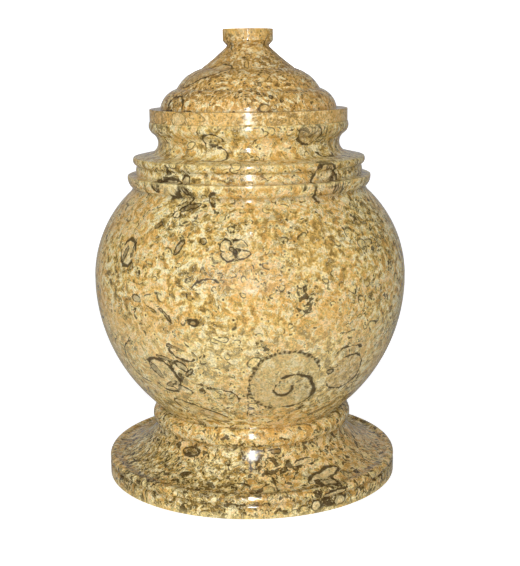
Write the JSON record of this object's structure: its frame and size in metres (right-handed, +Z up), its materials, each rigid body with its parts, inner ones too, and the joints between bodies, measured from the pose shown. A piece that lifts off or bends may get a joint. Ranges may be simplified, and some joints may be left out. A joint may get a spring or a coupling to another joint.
{
  "type": "cremation urn",
  "caption": "Turned stone cremation urn: hollow round bowl on a flared moulded foot, ridged shoulder, hollow neck and a stepped dome lid with a flat knob.",
  "frame": {"origin": "middle of the flat underside of the foot", "axes": "+Z up along the turning axis, from the foot to the knob; +X to the right and -Y towards the viewer"},
  "size_m": [0.203, 0.203, 0.29],
  "materials": {
    "body_stone": "polished fossil limestone, tan and cream with brown shell outlines",
    "lid_stone": "polished fossil limestone, tan with small dark ringed shells"
  },
  "bodies": {
    "root": {"urn_body": "body_stone", "lid": "lid_stone"}
  },
  "joints": []
}
